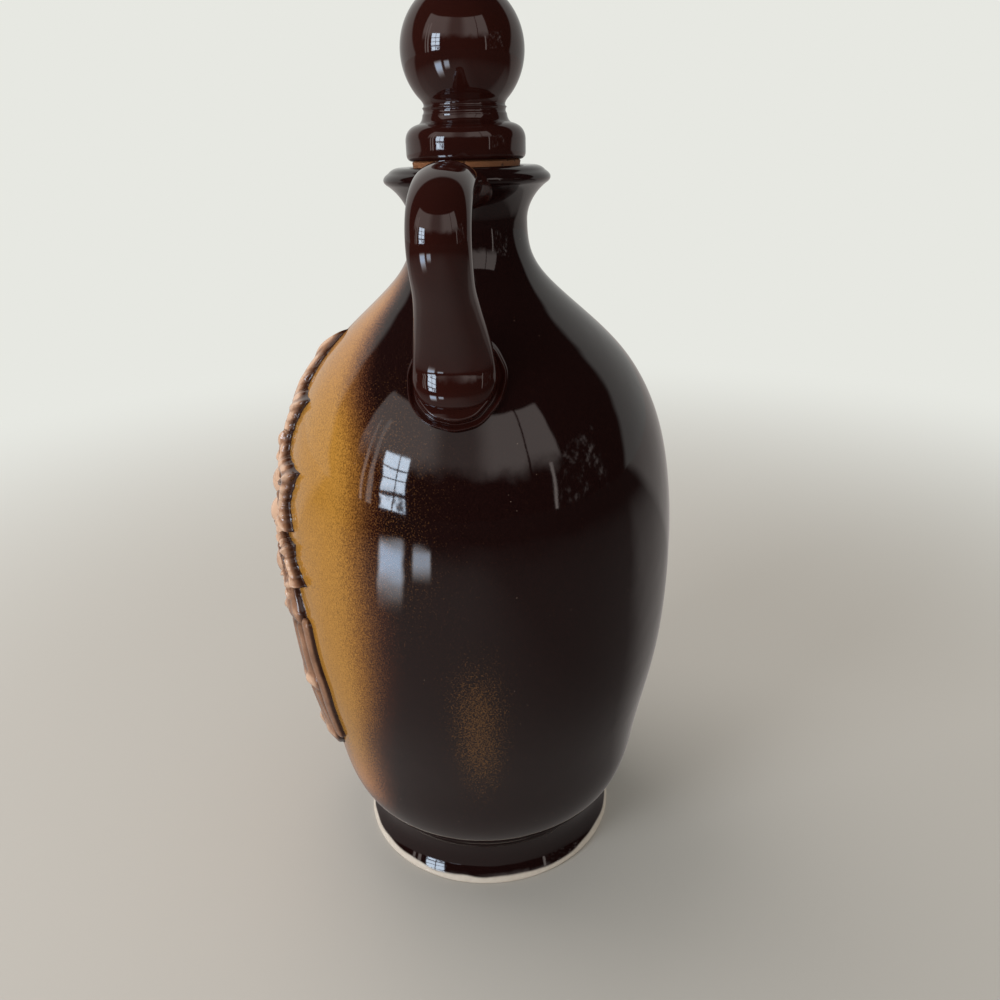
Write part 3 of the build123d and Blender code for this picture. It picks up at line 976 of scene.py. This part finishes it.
# %% The glaze of the relief
relief = Finish("relief_glaze")
spot = relief.place()[0]
# The relief attribute is painted light and shade, lighter on raised, outward parts and darker in hollows and
# where a sprig meets the ground; noise adds blotches of tone, and the stops run from the shade's dark brown
# to the pale of the lit tops.
height = relief.add("ShaderNodeAttribute", {"attribute_name": "relief"}).outputs["Fac"]
cloud = relief.noise(spot, 160.0, 3.0)
grain = relief.noise(spot, 1400.0, 2.0)
blotch_and_painted_light = relief.math("MULTIPLY_ADD", relief.math("SUBTRACT", cloud, 0.5), 0.6, height)
blotch_and_painted_light = relief.math("MULTIPLY_ADD", relief.math("SUBTRACT", grain, 0.5), 0.25, blotch_and_painted_light)
light = relief.math("MINIMUM", blotch_and_painted_light, relief.math("MULTIPLY", height, 2.5))
relief_stops = [
    (0, (48, 24, 15)), (0.2, (72, 44, 30)), (0.45, (104, 72, 54)), (0.75, (146, 106, 82)),
    (1, (204, 166, 140)),
]
relief.fill(relief.shader, "Base Color", relief.colours(light, relief_stops))
relief.shader.inputs["Roughness"].default_value = 0.16
relief.shader.inputs["IOR"].default_value = 1.5
bump = relief.add("ShaderNodeBump", Strength=0.3, Distance=0.0003, Height=relief.noise(spot, 500.0, 3.0))
relief.fill(relief.shader, "Normal", bump.outputs[0])
for piece in relief_pieces:
    piece.data.materials.append(relief.material)

# %% The cork
bark = Finish("cork")
spot = bark.place()[0]
pores = bark.add("ShaderNodeTexVoronoi", {"feature": "F1"}, Vector=spot, Scale=700.0)
grain = bark.noise(spot, 420.0, 4.0, 0.65)
pore = bark.ramp(pores.outputs["Distance"], 0.32, 0.12)
pore = bark.math("MULTIPLY", pore, bark.math("GREATER_THAN", bark.noise(spot, 300.0, 1.0), 0.55))
colour = bark.mix(grain, srgb(108, 62, 36), srgb(150, 100, 66))
colour = bark.mix(pore, colour, srgb(84, 50, 30))
bark.fill(bark.shader, "Base Color", colour)
bark.shader.inputs["Roughness"].default_value = 0.8
rough = bark.math("SUBTRACT", grain, pore)
bump = bark.add("ShaderNodeBump", Strength=0.6, Distance=0.0005, Height=rough)
bark.fill(bark.shader, "Normal", bump.outputs[0])
cork.data.materials.append(bark.material)

# %% [markdown]
# ## The stage
# A plain pale floor, soft light, and a camera that looks down at the handle's side. The
# floor fades into the pale surroundings, so that no horizon shows. Dark glaze shows mostly
# what it mirrors, so the floor and the room also have a mirrored side that only glossy rays
# meet: there the floor glows as a painted tabletop, darker on one side as a painted shadow,
# with a painted reflection of the window's gleam on it.

# %% The floor
camera_azimuth = radians(96.5)
away_way = (-sin(camera_azimuth), cos(camera_azimuth), 0)
aside_way = (cos(camera_azimuth), sin(camera_azimuth), 0)
pale_colour = srgb(231, 232, 226)
bpy.ops.object.select_all(action="DESELECT")
bpy.ops.mesh.primitive_circle_add(vertices=96, radius=4.0, fill_type="NGON")
floor = bpy.context.object
floor.name = floor.data.name = "floor"
gleam_strength = 7.5
stone = Finish("floor")
spot, x, y = stone.place()[:3]
stone.shader.inputs["Base Color"].default_value = srgb(190, 184, 178)
stone.shader.inputs["Roughness"].default_value = 0.6
stone.shader.inputs["Specular IOR Level"].default_value = 0.08
reach = stone.add("ShaderNodeVectorMath", {"operation": "LENGTH"}, i0=spot).outputs["Value"]
fade = stone.ramp(reach, 0.16, 0.60)
backdrop = stone.add("ShaderNodeEmission", Color=pale_colour)
faded = stone.add("ShaderNodeMixShader", i0=fade, i1=stone.shader.outputs[0], i2=backdrop.outputs[0])
away = stone.reach(spot, away_way)
aside = stone.reach(spot, aside_way)
# Painted light: the mirrored tabletop glows brighter away from the camera and on the lit side, darker on the
# side in the decanter's painted shadow, fades far off, and shows a pale wall beyond.
painted_table_light = stone.math(
    "MAXIMUM", stone.ramp(aside, -0.05, 0.12, 0.27, 0.11), stone.ramp(away, -0.06, 0.04, 0.0, 0.33)
)
painted_table_light = stone.math("MULTIPLY_ADD", painted_table_light, stone.ramp(reach, 0.80, 0.24), 0.03)
sideways = stone.math("ABSOLUTE", aside)
beyond = stone.math("SUBTRACT", stone.math("MULTIPLY_ADD", sideways, -0.09, away), 0.12)
beyond = stone.math("DIVIDE", beyond, stone.math("MULTIPLY_ADD", sideways, 0.05, 0.04))
painted_table_light = stone.math("MAXIMUM", painted_table_light, stone.ramp(beyond, -1.0, 1.0, 0.0, 0.5))
around = stone.math("DEGREES", stone.math("ARCTAN2", x, stone.math("MULTIPLY", y, -1.0)))
# Painted reflection: two patches of the mirrored tabletop glow with the window's gleam.
gleam = stone.times(
    stone.ramp(around, 40.0, 43.0), stone.ramp(around, 57.0, 54.0),
    stone.ramp(reach, 0.22, 0.42), stone.ramp(reach, 0.75, 0.50),
)
side_gleam = stone.times(
    stone.ramp(around, 60.0, 62.0), stone.ramp(around, 71.0, 69.0),
    stone.ramp(reach, 0.33, 0.46), stone.ramp(reach, 0.68, 0.56), 0.7,
)
gleam = stone.math("MAXIMUM", gleam, side_gleam)
mirrored = stone.mix(gleam, (1.0, 0.93, 0.88, 1), (0.8, 1.0, 1.3, 1))
gleam = stone.times(gleam, gleam_strength)
strength = stone.math("ADD", gleam, painted_table_light)
mirrored = stone.add("ShaderNodeEmission", Color=mirrored, Strength=strength)
path = stone.add("ShaderNodeLightPath")
shown = stone.add(
    "ShaderNodeMixShader", i0=path.outputs["Is Glossy Ray"], i1=faded.outputs[0], i2=mirrored.outputs[0]
)
stone.fill(stone.tree.nodes["Material Output"], "Surface", shown.outputs[0])
floor.data.materials.append(stone.material)

# %% The camera
camera_lens = 29.52
camera_distance = 212.0
camera_height = 195.7
camera_pitch = radians(23.295)
camera_roll = radians(-1.535)
camera_yaw = radians(-1.577)
camera_data = bpy.data.cameras.new("camera")
camera_data.sensor_width = 36.0
camera_data.lens = camera_lens
camera_data.clip_start = 0.005
camera = bpy.data.objects.new("camera", camera_data)
bpy.context.scene.collection.objects.link(camera)
right = Vector((cos(camera_yaw), sin(camera_yaw), 0))
level = Vector((-sin(camera_yaw), cos(camera_yaw), 0))
upward = Vector((0, 0, 1))
ahead = level * cos(camera_pitch) - upward * sin(camera_pitch)
over = level * sin(camera_pitch) + upward * cos(camera_pitch)
roll_cos, roll_sin = cos(camera_roll), sin(camera_roll)
right, over = right * roll_cos + over * roll_sin, over * roll_cos - right * roll_sin
turned = Matrix.Rotation(camera_azimuth, 4, "Z")
looking = Matrix((right, over, -ahead)).transposed().to_4x4()
looking.translation = Vector((0, -camera_distance, camera_height)) * MM
camera.matrix_world = turned @ looking
bpy.context.scene.camera = camera
print("camera at:", [round(value, 4) for value in camera.matrix_world.translation])


# %% The lights
def panel(name, azimuth, elevation, distance, width, height, power, colour):
    """A soft light panel that looks at the middle of the decanter."""
    data = bpy.data.lights.new(name, "AREA")
    data.shape = "RECTANGLE"
    data.size, data.size_y = width, height
    data.energy = power
    data.color = colour
    light = bpy.data.objects.new(name, data)
    bpy.context.scene.collection.objects.link(light)
    a, e = radians(azimuth), radians(elevation)
    back = Vector((sin(a) * cos(e), -cos(a) * cos(e), sin(e)))
    light.location = Vector((0, 0, 0.12)) + back * distance
    light.rotation_euler = back.to_track_quat("Z", "Y").to_euler()
    light.visible_camera = light.visible_glossy = False


panel("window", 43.5, 12, 0.9, 0.3, 0.5, 5.0, (0.90, 0.96, 1.0))
panel("ceiling", 330, 60, 1.2, 1.0, 1.0, 7.0, (1.0, 0.98, 0.95))

# %% [markdown]
# ## The room in the glaze
# A glossy ray that leaves the decanter finds a room: a pale wall behind it, a dim band of
# ceiling over the camera, a curtain and a doorway at its sides, and a bright window with
# bars. Each is a patch of the sky, told by how far round and how high a ray points. All
# other rays find an even, pale light.

# %% The surroundings
world = bpy.data.worlds.new("room")
bpy.context.scene.world = world
bpy.context.scene.view_settings.view_transform = "Standard"
room = Finish("room", world)
way = room.add("ShaderNodeTexCoord").outputs["Generated"]
parts = room.add("ShaderNodeSeparateXYZ", i0=way)
around = room.math("ARCTAN2", parts.outputs[0], room.math("MULTIPLY", parts.outputs[1], -1.0))
around = room.math("DEGREES", around)
high = room.math("DEGREES", room.math("ARCSINE", parts.outputs[2]))


def patch_of(value, low, high, soft):
    """1 between two angles, with soft edges."""
    return room.times(room.ramp(value, low - soft, low + soft), room.ramp(value, high + soft, high - soft))


def all_but(patch, share=1.0):
    """1 outside a patch, and less by a share within it."""
    return room.math("SUBTRACT", 1.0, room.times(patch, share))


def picture(left, right, low, top, soft):
    """A patch of the room between two turns and two heights, in degrees."""
    return room.times(patch_of(around, left, right, soft), patch_of(high, low, top, soft))


away = room.reach(way, away_way)
rise = room.math("MAXIMUM", parts.outputs[2], 0.0)
wall_share = room.ramp(room.math("MULTIPLY_ADD", rise, -0.55, away), 0.04, 0.14)
aside = room.reach(way, aside_way)
wall_level = room.ramp(aside, -0.3, 0.4, 0.62, 0.5)
waver = room.math("MULTIPLY_ADD", room.noise(way, 4.0, 3.0, 0.6), 14.0, -7.0)
band = room.times(
    patch_of(around, 18, 148, 1.2),
    room.ramp(high, 49.0, 47.0),
    room.ramp(room.math("ADD", high, waver), 12.0, 24.0),
    all_but(patch_of(around, 70, 100, 9.0), 0.6),
    all_but(patch_of(around, 127, 128.4, 0.4)),
)
curtain = room.math("MAXIMUM", picture(25.5, 27.5, -3, 34, 0.6), picture(30.5, 33.5, -3, 36, 0.6))
curtain = room.times(curtain, 1.6)
doorway = room.times(picture(140, 141.6, -3, 17, 0.5), 1.8)
clutter = room.ramp(room.noise(way, 11.0, 5.0, 0.7), 0.52, 0.68, 0.0, 0.7)
clutter = room.times(picture(143, 176, -2, 22, 2.0), clutter)
dim = room.math("MAXIMUM", room.math("MAXIMUM", band, curtain), room.math("MAXIMUM", doorway, clutter))
window_bars = [(around, 47.5, 0.4), (high, 16.0, 0.35), (high, 10.5, 0.35), (high, 4.5, 0.7)]
bars = [all_but(patch_of(value, bar - half, bar + half, 0.2)) for value, bar, half in window_bars]
garden = room.ramp(room.noise(way, 9.0, 4.0, 0.6), 0.42, 0.58, 0.1, 1.0)
garden = room.math("MAXIMUM", garden, room.ramp(high, 2.0, 8.0))
panes = room.times(picture(39, 55, -2, 22, 0.5), *bars, garden)
wall = room.mix(1.0, (1.0, 1.0, 0.96, 1), wall_level, "MULTIPLY")
lit = room.mix(wall_share, (0.02, 0.016, 0.015, 1), wall)
lit = room.mix(1.0, lit, room.mix(1.0, (1.2, 1.06, 1.0, 1), dim, "MULTIPLY"), "LIGHTEN")
lit = room.mix(panes, lit, (11.0, 13.0, 15.5, 1))
mirrored = room.add("ShaderNodeBackground", Color=lit)
even = room.add("ShaderNodeBackground", Color=pale_colour, Strength=0.7)
behind = room.add("ShaderNodeBackground", Color=pale_colour)
path = room.add("ShaderNodeLightPath")
seen = room.add(
    "ShaderNodeMixShader", i0=path.outputs["Is Camera Ray"], i1=even.outputs[0], i2=behind.outputs[0]
)
seen = room.add(
    "ShaderNodeMixShader", i0=path.outputs["Is Glossy Ray"], i1=seen.outputs[0], i2=mirrored.outputs[0]
)
room.fill(room.tree.nodes["World Output"], "Surface", seen.outputs[0])
print("room nodes:", len(room.tree.nodes))
